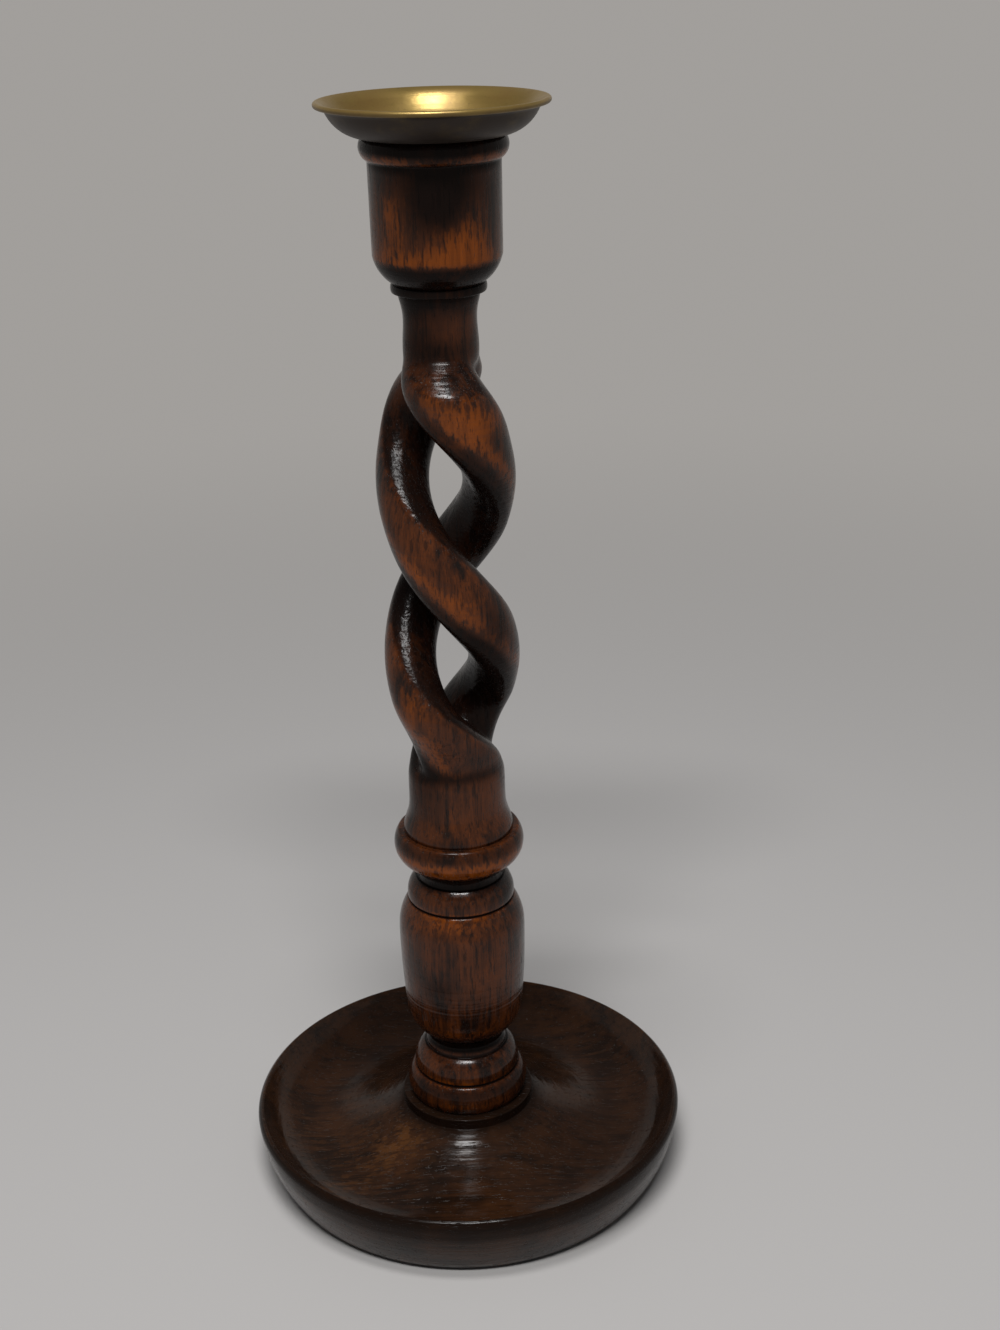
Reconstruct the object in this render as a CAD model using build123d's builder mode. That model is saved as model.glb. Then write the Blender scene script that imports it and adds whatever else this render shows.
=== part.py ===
import os
from math import ceil, cos, hypot, radians, sin, sqrt, tan

from build123d import *

os.makedirs("parts", exist_ok=True)

# Driving dimensions in millimetres. The origin is on the floor, on the axis of the stem.

# Fabric pad under the base
pad_thickness = 1.0
pad_inset = 5.8

# Base dish, with heights measured from its underside and insets from its widest place
dish_radius = 62.1
dish_wall_height = 16.6
dish_wall_bulge = 1.1
dish_foot_inset = 5.8
dish_foot_round = 0.8
dish_rim_inset = 1.5
dish_rim_height = 19.5
dish_rim_bulge = 0.6
dish_inner_inset = 6.6
dish_inner_height = 12.4
dish_floor_inset = 19.6
dish_floor_height = 9.2
boss_foot_radius = 26.0
boss_foot_height = 14.6
boss_shoulder_radius = 19.6
boss_shoulder_height = 18.2
boss_collar_radius = 19.0
boss_edge_round = 1.2
boss_height = 21.4

# Spigot of the stem in the mortise of the base, and the screw that pulls them together
spigot_radius = 8.0
mortise_depth = 13.5
spigot_end_gap = 0.5
glue_gap = 0.1
screw_radius = 2.4
screw_length = 38.0
screw_point = 5.0
screw_head_radius = 4.7
screw_head_angle = 90.0
screw_head_recess = 0.2
screw_slot_width = 1.2
screw_slot_depth = 1.2
screw_gap = 0.1

# Foot mouldings of the stem, from the base upward
foot_radius = 16.3
torus_rise = 8.4
torus_top_radius = 15.4
torus_bulge = 1.5
quirk_radius = 14.4
quirk_rise = 0.6
ovolo_foot_radius = 15.0
ovolo_rise = 7.2
ovolo_top_radius = 12.0
ovolo_bulge = 1.1
fillet_radius = 11.6
fillet_rise = 1.1
cove_rise = 4.6
cove_bulge = 1.3

# Pillar, with a rounded foot, a slight taper and a domed brow
pillar_foot_radius = 12.6
pillar_round_rise = 7.2
pillar_round_radius = 16.6
pillar_round_bulge = 0.85
pillar_rise = 26.0
pillar_top_radius = 17.85
pillar_bulge = 0.35
brow_rise = 9.0
brow_top_radius = 15.1
brow_bulge = 0.7

# Turned line, dome, waist, bead, flare and collar between the pillar and the twist
line_radius = 14.4
line_rise = 0.6
dome_foot_radius = 15.0
dome_rise = 6.7
dome_top_radius = 12.5
dome_bulge = 0.9
waist_fillet_radius = 12.1
waist_fillet_rise = 1.0
waist_rise = 3.0
waist_bulge = 0.3
bead_foot_radius = 13.4
bead_rise = 10.3
bead_top_radius = 16.8
bead_bulge = 2.85
flare_foot_radius = 15.9
flare_rise = 6.1
flare_bulge = 0.25
collar_radius = 13.4
collar_rise = 14.4

# Open twist of two strands. A strand lies between strand_inner and twist_radius from the axis.
twist_length = 119.8
twist_pitch = 98.6
twist_radius = 18.3
strand_inner = 4.2
strand_half_width = 10.2
strand_count = 2
section_rise = 4.35
twist_foot_angle = 114.6
upper_blend = 16.0
upper_web = 32.0
upper_overlap = 5.4
upper_swell = 2.0
lower_blend = 20.0
lower_web = 20.0
lower_overlap = 6.0
strand_ledge = 0.5
strand_sink = 1.0

# Section of a strand: a round turned face between two arrises, carved flanks and a rounded heel inside.
# Places are shares of the strand's half depth, from its middle outward, and of its half width.
arris_depth = 0.3
arris_width = 0.95
flank_depth = 0.1
flank_width = 0.95
heel_depth = 0.7
heel_width = 0.6

# Neck and candle cup
neck_radius = 9.6
neck_flare_radius = 10.0
neck_flare_drop = 8.0
neck_core_drop = 20.0
neck_rise = 6.5
neck_top_radius = 9.8
neck_bulge = 0.4
ring_foot_rise = 3.0
ring_foot_radius = 11.4
ring_foot_bulge = 0.4
ring_radius = 11.95
ring_rise = 2.2
ring_bulge = 0.2
cup_foot_radius = 11.5
cup_round_rise = 7.0
cup_round_bulge = 0.85
cup_radius = 16.3
cup_rise = 22.9
cup_top_radius = 16.5
cup_bead_rise = 5.7
cup_bead_bulge = 1.35
cup_rim_radius = 17.6

# Brass nozzle, which sets the holes in the pan and in the wooden cup
candle_radius = 11.2
nozzle_depth = 23.0
nozzle_wall = 0.6
nozzle_flange_radius = 14.2
nozzle_flange_thickness = 0.8
pan_fit_gap = 0.3
cup_fit_gap = 0.4
bore_end_gap = 0.8

# Brass drip pan
pan_thickness = 0.9
pan_floor_radius = 18.4
pan_wall_rise = 5.9
pan_wall_radius = 26.0
pan_wall_bulge = 1.2
pan_lip_rise = 1.4
pan_lip_radius = 28.1
pan_lip_bulge = 0.25
pan_roll_radius = 0.75

# Heights above the floor that follow from the sizes above
dish_z = pad_thickness
seat_z = dish_z + boss_height
mortise_z = seat_z - mortise_depth
spigot_z = mortise_z + spigot_end_gap
screw_head_z = dish_z + screw_head_recess
screw_tip_z = screw_head_z + screw_length
dish_foot_radius = dish_radius - dish_foot_inset


def stretch(begin, end, bulge):
    """One stretch of an outline of radius and height: straight, or an arc to the right of its run."""
    if bulge == 0:
        Line(begin, end)
        return
    run = hypot(end[0] - begin[0], end[1] - begin[1])
    middle_radius = (begin[0] + end[0]) / 2 + bulge * (end[1] - begin[1]) / run
    middle_height = (begin[1] + end[1]) / 2 - bulge * (end[0] - begin[0]) / run
    ThreePointArc(begin, (middle_radius, middle_height), end)


def climb(start, steps):
    """A turned outline from start upward, in steps of (rise, end radius, bulge). Returns its last point."""
    here = start
    for rise, radius, bulge in steps:
        there = (radius, here[1] + rise)
        stretch(here, there, bulge)
        here = there
    return here


def ease(share):
    """Goes smoothly from 0 to 1 as share does, and stays at 0 or 1 outside."""
    share = min(max(share, 0.0), 1.0)
    return share * share * (3 - 2 * share)


# The oak base: a dish whose hollow sweeps up to the boss that carries the stem
with BuildPart() as base_dish:
    with BuildSketch(Plane.XZ):
        with BuildLine():
            foot = (dish_foot_radius, dish_z)
            wall = (dish_radius, dish_z + dish_wall_height)
            rim = (dish_radius - dish_rim_inset, dish_z + dish_rim_height)
            shoulder = (boss_shoulder_radius, dish_z + boss_shoulder_height)
            collar_foot = (boss_collar_radius, dish_z + boss_shoulder_height)
            collar_edge = (boss_collar_radius, seat_z)
            Line((0, dish_z), foot)
            stretch(foot, wall, dish_wall_bulge)
            stretch(wall, rim, dish_rim_bulge)
            Spline(
                rim,
                (dish_radius - dish_inner_inset, dish_z + dish_inner_height),
                (dish_radius - dish_floor_inset, dish_z + dish_floor_height),
                (boss_foot_radius, dish_z + boss_foot_height),
                shoulder,
            )
            Polyline(shoulder, collar_foot, collar_edge, (0, seat_z), (0, dish_z))
        make_face()
    revolve(axis=Axis.Z)
    fillet(base_dish.edges().filter_by(GeomType.CIRCLE).group_by(Axis.Z)[0], dish_foot_round)
    fillet(base_dish.edges().filter_by(GeomType.CIRCLE).group_by(Axis.Z)[-1], boss_edge_round)
    with BuildSketch(Plane.XY.offset(seat_z)):
        Circle(spigot_radius + glue_gap)
    extrude(amount=-mortise_depth, mode=Mode.SUBTRACT)
    with Locations(Plane(origin=(0, 0, dish_z), z_dir=(0, 0, -1))):
        CounterSinkHole(
            radius=screw_radius + screw_gap,
            counter_sink_radius=screw_head_radius + screw_gap
            + screw_head_recess * tan(radians(screw_head_angle / 2)),
            counter_sink_angle=screw_head_angle,
        )
base_dish.part.label = "base_dish"
export_step(base_dish.part, "parts/base_dish.step")


# The oak stem, one turned length: foot, pillar and collar below the twist, neck and candle cup above it
foot_steps = [
    (torus_rise, torus_top_radius, torus_bulge),
    (0, quirk_radius, 0),
    (quirk_rise, quirk_radius, 0),
    (0, ovolo_foot_radius, 0),
    (ovolo_rise, ovolo_top_radius, ovolo_bulge),
    (0, fillet_radius, 0),
    (fillet_rise, fillet_radius, 0),
    (cove_rise, pillar_foot_radius, -cove_bulge),
]
pillar_steps = [
    (pillar_round_rise, pillar_round_radius, pillar_round_bulge),
    (pillar_rise, pillar_top_radius, pillar_bulge),
    (brow_rise, brow_top_radius, brow_bulge),
    (0, line_radius, 0),
    (line_rise, line_radius, 0),
    (0, dome_foot_radius, 0),
    (dome_rise, dome_top_radius, dome_bulge),
    (0, waist_fillet_radius, 0),
    (waist_fillet_rise, waist_fillet_radius, 0),
    (waist_rise, bead_foot_radius, -waist_bulge),
]
collar_steps = [
    (bead_rise, bead_top_radius, bead_bulge),
    (0, flare_foot_radius, 0),
    (flare_rise, collar_radius, flare_bulge),
    (collar_rise, collar_radius, 0),
]
neck_steps = [
    (neck_rise, neck_top_radius, -neck_bulge),
    (ring_foot_rise, ring_foot_radius, -ring_foot_bulge),
    (0, ring_radius, 0),
    (ring_rise, ring_radius, ring_bulge),
    (0, cup_foot_radius, 0),
]
cup_steps = [
    (cup_round_rise, cup_radius, cup_round_bulge),
    (cup_rise, cup_top_radius, 0),
    (cup_bead_rise, cup_rim_radius, cup_bead_bulge),
]
twist_foot_z = seat_z + sum(step[0] for step in foot_steps + pillar_steps + collar_steps)
twist_top_z = twist_foot_z + twist_length
cup_top_z = twist_top_z + sum(step[0] for step in neck_steps + cup_steps)
nozzle_radius = candle_radius + nozzle_wall
flange_z = cup_top_z + pan_thickness
mouth_z = flange_z + nozzle_flange_thickness
nozzle_z = mouth_z - nozzle_depth - nozzle_wall
bore_radius = nozzle_radius + cup_fit_gap
bore_z = nozzle_z - bore_end_gap
pilot_radius = screw_radius + screw_gap
pilot_z = screw_tip_z + screw_gap


def strand_angle(height):
    """Direction of the first strand at a height, in degrees, as seen from above."""
    return twist_foot_angle - 360 * (height - twist_foot_z) / twist_pitch


def strand_section(height, turn):
    """A level section of the strand at that turn from the first, closing up towards neck and collar.

    Returns its plane and the two ends and the middle of each of its four arcs.
    """
    outer, inner, half_width = twist_radius, strand_inner, strand_half_width
    ends = [
        (twist_top_z - height, upper_blend, upper_web, neck_radius, upper_overlap),
        (height - twist_foot_z, lower_blend, lower_web, collar_radius, lower_overlap),
    ]
    for distance, blend, web, turned_radius, overlap in ends:
        closed = 1 - ease(distance / blend)
        end_outer = turned_radius - strand_ledge
        end_arris = (end_outer - overlap) / 2 + arris_depth * (end_outer + overlap) / 2
        end_half_width = sqrt(end_outer**2 - end_arris**2) / arris_width
        outer += closed * (end_outer - twist_radius)
        inner -= (1 - ease(distance / web)) * (overlap + strand_inner)
        half_width += closed * (end_half_width - strand_half_width)
    parting = ease((twist_top_z - height) / upper_web)
    half_width += 4 * upper_swell * parting * (1 - parting)
    middle = (outer + inner) / 2
    half_depth = (outer - inner) / 2
    angle = radians(strand_angle(height) + turn)
    level = Plane(origin=(0, 0, height), x_dir=(cos(angle), sin(angle), 0), z_dir=(0, 0, 1))

    def place(depth_share, width_share):
        return (middle + depth_share * half_depth, width_share * half_width)

    corners = [
        place(arris_depth, -arris_width),
        place(arris_depth, arris_width),
        place(-heel_depth, heel_width),
        place(-heel_depth, -heel_width),
    ]
    middles = [
        place(1, 0),
        place(-flank_depth, flank_width),
        place(-1, 0),
        place(-flank_depth, -flank_width),
    ]
    arcs = [(corners[side], middles[side], corners[(side + 1) % 4]) for side in range(4)]
    return level, arcs


with BuildPart() as twist_stem:
    with BuildSketch(Plane.XZ):
        with BuildLine():
            pilot_edge = (pilot_radius, spigot_z)
            foot_edge = (foot_radius, seat_z)
            Polyline(pilot_edge, (spigot_radius, spigot_z), (spigot_radius, seat_z), foot_edge)
            collar_top = climb(foot_edge, foot_steps + pillar_steps + collar_steps)
            Polyline(collar_top, (0, twist_foot_z), (0, pilot_z), (pilot_radius, pilot_z), pilot_edge)
        make_face()
    revolve(axis=Axis.Z)
    between_strands = radians(strand_angle(twist_top_z) + 180 / strand_count)
    neck_plane = Plane(
        origin=(0, 0, 0),
        x_dir=(cos(between_strands), sin(between_strands), 0),
        z_dir=(sin(between_strands), -cos(between_strands), 0),
    )
    with BuildSketch(neck_plane):
        with BuildLine():
            core_tip = (0, twist_top_z - neck_core_drop)
            neck_foot = (neck_radius, twist_top_z)
            Polyline(core_tip, (neck_flare_radius, twist_top_z - neck_flare_drop), neck_foot)
            cup_rim = climb(neck_foot, neck_steps + cup_steps)
            Polyline(cup_rim, (bore_radius, cup_top_z), (bore_radius, bore_z), (0, bore_z), core_tip)
        make_face()
    revolve(axis=Axis.Z)
    strand_z = twist_foot_z - strand_sink
    strand_length = twist_length + 2 * strand_sink
    strand_steps = ceil(strand_length / section_rise)
    step_z = strand_length / strand_steps
    for strand in range(strand_count):
        for step in range(strand_steps + 1):
            level, arcs = strand_section(strand_z + step * step_z, strand * 360 / strand_count)
            with BuildSketch(level):
                with BuildLine():
                    for begin, middle, end in arcs:
                        ThreePointArc(begin, middle, end)
                make_face()
        loft()
twist_stem.part.label = "twist_stem"
export_step(twist_stem.part, "parts/twist_stem.step")


# The spun brass pan: a shallow bowl with a flared lip and a rolled edge
with BuildPart() as drip_pan:
    with BuildSketch(Plane.XZ):
        hole_radius = nozzle_radius + pan_fit_gap
        lip_z = cup_top_z + pan_wall_rise + pan_lip_rise
        with BuildLine():
            lower = [
                (pan_floor_radius, cup_top_z),
                (pan_wall_radius, cup_top_z + pan_wall_rise),
                (pan_lip_radius, lip_z),
            ]
            upper = [
                (pan_lip_radius, lip_z + pan_thickness),
                (pan_wall_radius - pan_thickness, cup_top_z + pan_wall_rise + pan_thickness / 2),
                (pan_floor_radius, cup_top_z + pan_thickness),
            ]
            Line((hole_radius, cup_top_z), lower[0])
            stretch(lower[0], lower[1], pan_wall_bulge)
            stretch(lower[1], lower[2], -pan_lip_bulge)
            Line(lower[2], upper[0])
            stretch(upper[0], upper[1], pan_lip_bulge)
            stretch(upper[1], upper[2], -pan_wall_bulge)
            Polyline(upper[2], (hole_radius, flange_z), (hole_radius, cup_top_z))
        make_face()
        with Locations((pan_lip_radius, lip_z + pan_thickness / 2)):
            Circle(pan_roll_radius)
    revolve(axis=Axis.Z)
drip_pan.part.label = "drip_pan"
export_step(drip_pan.part, "parts/drip_pan.step")


# The drawn brass nozzle: a closed tube for the candle, with a flange that lies on the floor of the pan
with BuildPart() as candle_nozzle:
    with BuildSketch(Plane.XZ):
        with BuildLine():
            Polyline(
                (0, nozzle_z),
                (nozzle_radius, nozzle_z),
                (nozzle_radius, flange_z),
                (nozzle_flange_radius, flange_z),
                (nozzle_flange_radius, mouth_z),
                (candle_radius, mouth_z),
                (candle_radius, nozzle_z + nozzle_wall),
                (0, nozzle_z + nozzle_wall),
                (0, nozzle_z),
            )
        make_face()
    revolve(axis=Axis.Z)
    fillet(candle_nozzle.edges().filter_by(GeomType.CIRCLE).group_by(Axis.Z)[0], nozzle_wall)
candle_nozzle.part.label = "candle_nozzle"
export_step(candle_nozzle.part, "parts/candle_nozzle.step")


# The slotted countersunk screw, driven up through the base into the spigot
with BuildPart() as base_screw:
    head_height = (screw_head_radius - screw_radius) / tan(radians(screw_head_angle / 2))
    with BuildSketch(Plane.XZ):
        with BuildLine():
            Polyline(
                (0, screw_head_z),
                (screw_head_radius, screw_head_z),
                (screw_radius, screw_head_z + head_height),
                (screw_radius, screw_tip_z - screw_point),
                (0, screw_tip_z),
                (0, screw_head_z),
            )
        make_face()
    revolve(axis=Axis.Z)
    with BuildSketch(Plane.XY.offset(screw_head_z)):
        Rectangle(2 * (screw_head_radius + screw_slot_width), screw_slot_width)
    extrude(amount=screw_slot_depth, mode=Mode.SUBTRACT)
base_screw.part.label = "base_screw"
export_step(base_screw.part, "parts/base_screw.step")


# The fabric disc glued under the base
with BuildPart() as baize_pad:
    with BuildSketch(Plane.XY):
        Circle(dish_foot_radius - pad_inset)
    extrude(amount=pad_thickness)
baize_pad.part.label = "baize_pad"
export_step(baize_pad.part, "parts/baize_pad.step")
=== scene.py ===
from math import atan2, ceil, cos, hypot, pi, radians, sin, sqrt

import bmesh
import bpy
import numpy as np
from mathutils import Matrix, Vector, kdtree


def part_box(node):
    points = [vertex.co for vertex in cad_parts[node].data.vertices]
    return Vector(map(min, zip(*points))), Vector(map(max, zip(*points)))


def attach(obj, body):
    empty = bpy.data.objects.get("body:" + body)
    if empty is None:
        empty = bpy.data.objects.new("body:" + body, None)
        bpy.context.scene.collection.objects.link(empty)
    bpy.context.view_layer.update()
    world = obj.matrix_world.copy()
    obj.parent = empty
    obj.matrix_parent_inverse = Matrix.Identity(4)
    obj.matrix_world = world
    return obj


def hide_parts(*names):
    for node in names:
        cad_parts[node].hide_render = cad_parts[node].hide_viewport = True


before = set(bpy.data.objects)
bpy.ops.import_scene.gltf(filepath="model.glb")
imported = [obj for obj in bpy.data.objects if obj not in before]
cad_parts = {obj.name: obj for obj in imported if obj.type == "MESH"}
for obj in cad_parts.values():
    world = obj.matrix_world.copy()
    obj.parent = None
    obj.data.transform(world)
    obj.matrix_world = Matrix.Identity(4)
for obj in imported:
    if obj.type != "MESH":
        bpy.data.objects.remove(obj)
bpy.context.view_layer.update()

# Outlines below are in millimetres of radius and height, and MM turns them into the frame's metres
MM = 0.001

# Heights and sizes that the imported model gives
dish_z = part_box("base_dish")[0].z / MM
seat_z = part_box("base_dish")[1].z / MM
spigot_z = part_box("twist_stem")[0].z / MM
cup_top_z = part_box("twist_stem")[1].z / MM
nozzle_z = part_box("candle_nozzle")[0].z / MM
mouth_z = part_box("candle_nozzle")[1].z / MM
screw_tip_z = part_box("base_screw")[1].z / MM
pad_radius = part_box("baize_pad")[1].x / MM

# How finely outlines are drawn, how far wear rounds their corners, and how many such reaches a mean takes in
POINT_STEP = 0.12
EDGE_WEAR = 0.22
MEAN_REACHES = 4
TURN_LIMIT = radians(5)
GAP_LIMIT = 2.0
SEGMENTS = 160


def stretch(begin, end, bulge):
    """Points after begin, up to end, on a line or on an arc that bulges to the right of its run."""
    begin = np.array(begin, float)
    end = np.array(end, float)
    run = end - begin
    length = hypot(*run)
    along = run / length
    right = np.array((along[1], -along[0]))
    count = max(2, ceil(length / POINT_STEP))
    shares = np.arange(1, count + 1) / count
    if bulge == 0:
        return begin + shares[:, None] * run
    half_angle = 2 * atan2(2 * bulge, length)
    radius = length / (2 * sin(half_angle))
    angles = half_angle * (2 * shares - 1)
    forward = radius * np.sin(angles)
    sideways = radius * (np.cos(angles) - cos(half_angle))
    return begin + run / 2 + forward[:, None] * along + sideways[:, None] * right


def outline(start, steps):
    """Points of a turned outline, where each step is (rise, end radius, bulge)."""
    points = [np.array([start], float)]
    for rise, radius, bulge in steps:
        begin = points[-1][-1]
        points.append(stretch(begin, (radius, begin[1] + rise), bulge))
    return np.concatenate(points)


def soften(points, reach, closed=False):
    """Rounds an outline's corners by a weighted mean along it, and keeps the ends of an open one."""
    steps = np.hypot(*np.diff(points, axis=0).T)
    places = np.concatenate(([0.0], np.cumsum(steps)))
    count = ceil(places[-1] / POINT_STEP)
    even = np.linspace(0, places[-1], count + 1)
    even_points = np.column_stack([np.interp(even, places, points[:, axis]) for axis in (0, 1)])
    pad = min(ceil(MEAN_REACHES * reach / POINT_STEP), count - 1)
    if closed:
        padded = np.concatenate((even_points[-1 - pad:-1], even_points, even_points[1:1 + pad]))
    else:
        before = 2 * even_points[0] - even_points[pad:0:-1]
        after = 2 * even_points[-1] - even_points[-2:-2 - pad:-1]
        padded = np.concatenate((before, even_points, after))
    offsets = np.arange(-pad, pad + 1) * POINT_STEP
    weights = np.exp(-0.5 * (offsets / reach) ** 2)
    weights /= weights.sum()
    smooth = [np.convolve(padded[:, axis], weights, mode="valid") for axis in (0, 1)]
    return np.column_stack(smooth)


def thin_out(points):
    """Keeps the points of an outline where it turns, and some along its straight stretches."""
    kept = [0]
    for place in range(1, len(points) - 1):
        before = points[place] - points[kept[-1]]
        after = points[place + 1] - points[place]
        start = points[kept[-1] + 1] - points[kept[-1]]
        turn = abs(atan2(start[0] * after[1] - start[1] * after[0], start @ after))
        if turn > TURN_LIMIT or hypot(*before) > GAP_LIMIT:
            kept.append(place)
    kept.append(len(points) - 1)
    return points[kept]


def mesh_object(name, vertices, faces):
    """A new object from vertices in millimetres, with its faces turned outward and shaded smooth."""
    mesh = bpy.data.meshes.new(name)
    mesh.from_pydata(np.asarray(vertices) * MM, [], faces)
    shell = bmesh.new()
    shell.from_mesh(mesh)
    bmesh.ops.recalc_face_normals(shell, faces=shell.faces)
    shell.to_mesh(mesh)
    shell.free()
    mesh.shade_smooth()
    made = bpy.data.objects.new(name, mesh)
    bpy.context.scene.collection.objects.link(made)
    return made


def lathe(name, points, closed=False):
    """Turns an outline about the axis. The ends of an open outline lie on the axis and become poles."""
    angles = np.arange(SEGMENTS) * 2 * pi / SEGMENTS
    rings = points[:-1] if closed else points[1:-1]
    vertices = [
        (radius * cos(angle), radius * sin(angle), height)
        for radius, height in rings
        for angle in angles
    ]
    faces = []
    ring_count = len(rings)
    for ring in range(ring_count if closed else ring_count - 1):
        lower = ring * SEGMENTS
        upper = (ring + 1) % ring_count * SEGMENTS
        for side in range(SEGMENTS):
            after = (side + 1) % SEGMENTS
            faces.append((lower + side, lower + after, upper + after, upper + side))
    if not closed:
        for pole, ring in ((points[0], 0), (points[-1], ring_count - 1)):
            vertices.append((0, 0, pole[1]))
            tip = len(vertices) - 1
            for side in range(SEGMENTS):
                after = (side + 1) % SEGMENTS
                faces.append((ring * SEGMENTS + side, ring * SEGMENTS + after, tip))
    return mesh_object(name, vertices, faces)


def use_modifier(piece, kind, **settings):
    """Adds a modifier and makes its result the piece's own mesh."""
    modifier = piece.modifiers.new(kind, kind)
    for setting, value in settings.items():
        setattr(modifier, setting, value)
    depsgraph = bpy.context.evaluated_depsgraph_get()
    result = bpy.data.meshes.new_from_object(piece.evaluated_get(depsgraph))
    piece.modifiers.clear()
    old = piece.data
    piece.data = result
    bpy.data.meshes.remove(old)


def unite(piece, others):
    """Joins closed meshes into one closed mesh and removes the others."""
    for other in others:
        use_modifier(piece, "BOOLEAN", operation="UNION", solver="MANIFOLD", object=other)
        bpy.data.objects.remove(other)


# Steps of the turned stem, each (rise, end radius, bulge)
FOOT_RADIUS = 16.3
SPIGOT_RADIUS = 8.0
PILOT_RADIUS = 2.5
TORUS = [(8.4, 15.4, 1.5)]
GROOVE = [(0, 14.4, 0), (0.6, 14.4, 0), (0, 15.0, 0)]
OVOLO = [(7.2, 12.0, 1.1), (0, 11.6, 0), (1.1, 11.6, 0)]
COVE = [(4.6, 12.6, -1.3)]
PILLAR = [(7.2, 16.6, 0.85), (26.0, 17.85, 0.35), (9.0, 15.1, 0.7)]
DOME = [(6.7, 12.5, 0.9), (0, 12.1, 0), (1.0, 12.1, 0)]
WAIST = [(3.0, 13.4, -0.3)]
BEAD = [(10.3, 16.8, 2.85), (0, 15.9, 0)]
LOWER_STEM = TORUS + GROOVE + OVOLO + COVE + PILLAR + GROOVE + DOME + WAIST + BEAD
COLLAR = [(6.1, 13.4, 0.25), (14.4, 13.4, 0)]
NECK_RADIUS = 9.6
NECK = [(6.5, 9.8, -0.4), (3.0, 11.4, -0.4)]
RING_RADIUS = 11.95
RING = [(2.2, RING_RADIUS, 0.2), (0, 11.5, 0)]
CUP = [(7.0, 16.3, 0.85), (22.9, 16.5, 0), (5.7, 17.6, 1.35)]
BORE_RADIUS = 12.2
BORE_END_GAP = 0.8
TO_AXIS = [(0, 0, 0)]

# Core of the neck between the strands: radius and drop of its widest place, and drop of its tip
NECK_FLARE = (10.0, 8.0)
NECK_CORE_DROP = 20.0


def total_rise(steps):
    """How far the steps of an outline rise together."""
    return sum(step[0] for step in steps)


bead_top_z = seat_z + total_rise(LOWER_STEM)
twist_foot_z = bead_top_z + total_rise(COLLAR)
twist_top_z = cup_top_z - total_rise(NECK + RING + CUP)
ring_z = twist_top_z + total_rise(NECK)
bore_z = nozzle_z - BORE_END_GAP

# Open twist of two strands, which close up into the neck and the collar
TWIST_PITCH = 98.6
TWIST_RADIUS = 18.3
TWIST_FOOT_ANGLE = 114.6
STRAND_COUNT = 2
STRAND_INNER = 4.2
STRAND_HALF_WIDTH = 10.2
STRAND_LEDGE = 0.5
STRAND_SINK = 1.6
COLLAR_SINK = 1.5

# At each end of the twist: where the strands close up, how far the web between them goes, and their overlap
UPPER_START = 4.0
UPPER_BLEND = 16.0
UPPER_WEB = 32.0
UPPER_OVERLAP = 5.4
LOWER_START = 0.0
LOWER_BLEND = 20.0
LOWER_WEB = 20.0
LOWER_OVERLAP = 6.0

# Corners and bends of a strand's section, as shares of its half depth and half width
ARRIS = (0.3, 0.95)
FLANK = (-0.1, 0.95)
HEEL = (-0.7, 0.6)

# How the carving departs from that section near the ends, in millimetres, and between them, as a share
UPPER_SWELL = 2.0
UPPER_TRIM = 0.5
LOWER_HOLLOW = 1.6
LOWER_FULLNESS = 0.14
FULL_REACH = 22.0

# How finely the carving is drawn, how far it is smoothed, and the angle from which an edge is sharp
LEVEL_STEP = 0.8
ARC_POINTS = 16
VOXEL = 0.4
CARVE_SMOOTHING = 44
CARVED_ROUND = 1.8
SHARP_ANGLE = radians(40)


def ease(share):
    """Goes smoothly from 0 to 1 as share does, and stays at 0 or 1 outside."""
    share = np.clip(share, 0.0, 1.0)
    return share * share * (3 - 2 * share)


def hump(share):
    """Rises smoothly from 0 to 1 and falls back to 0 as share goes from 0 to 1."""
    eased = ease(share)
    return 4 * eased * (1 - eased)


def arc_through(begin, middle, end):
    """Points from begin on, short of end, of the arc through three points."""
    first, second, third = (complex(*point) for point in (begin, middle, end))
    ratio = (third - first) / (second - first)
    centre = (second - first) * (ratio - abs(ratio) ** 2) / (2j * ratio.imag) + first
    turn = (third - centre) / (first - centre)
    part = (second - centre) / (first - centre)
    angle = atan2(turn.imag, turn.real)
    if part.imag * angle < 0:
        angle -= 2 * pi if angle > 0 else -2 * pi
    shares = np.arange(ARC_POINTS) / ARC_POINTS
    swept = centre + (first - centre) * np.exp(1j * angle * shares)
    return np.column_stack((swept.real, swept.imag))


def strand_frame(height):
    """The first strand's section at a height, or at an array of heights.

    Gives its middle, half depth, lower half width, upper half width and direction.
    """
    drop = twist_top_z - height
    rise = height - twist_foot_z
    outer, inner, half_width = TWIST_RADIUS, STRAND_INNER, STRAND_HALF_WIDTH
    ends = [
        (drop, UPPER_START, UPPER_BLEND, UPPER_WEB, NECK_RADIUS, UPPER_OVERLAP),
        (rise, LOWER_START, LOWER_BLEND, LOWER_WEB, COLLAR[-1][1], LOWER_OVERLAP),
    ]
    for distance, start, blend, web, turned_radius, overlap in ends:
        closed = 1 - ease((distance - start) / (blend - start))
        end_outer = turned_radius - STRAND_LEDGE
        end_arris = (end_outer - overlap) / 2 + ARRIS[0] * (end_outer + overlap) / 2
        end_half_width = sqrt(end_outer**2 - end_arris**2) / ARRIS[1]
        outer = outer + closed * (end_outer - TWIST_RADIUS)
        inner = inner - (1 - ease(distance / web)) * (overlap + STRAND_INNER)
        half_width = half_width + closed * (end_half_width - STRAND_HALF_WIDTH)
    upper_width = half_width + UPPER_SWELL * hump(drop / UPPER_WEB)
    upper_width = upper_width - LOWER_HOLLOW * hump(rise / LOWER_BLEND)
    lower_width = half_width - UPPER_TRIM * hump(drop / FULL_REACH)
    angle = np.radians(TWIST_FOOT_ANGLE - 360 * rise / TWIST_PITCH)
    return (outer + inner) / 2, (outer - inner) / 2, lower_width, upper_width, angle


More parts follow.
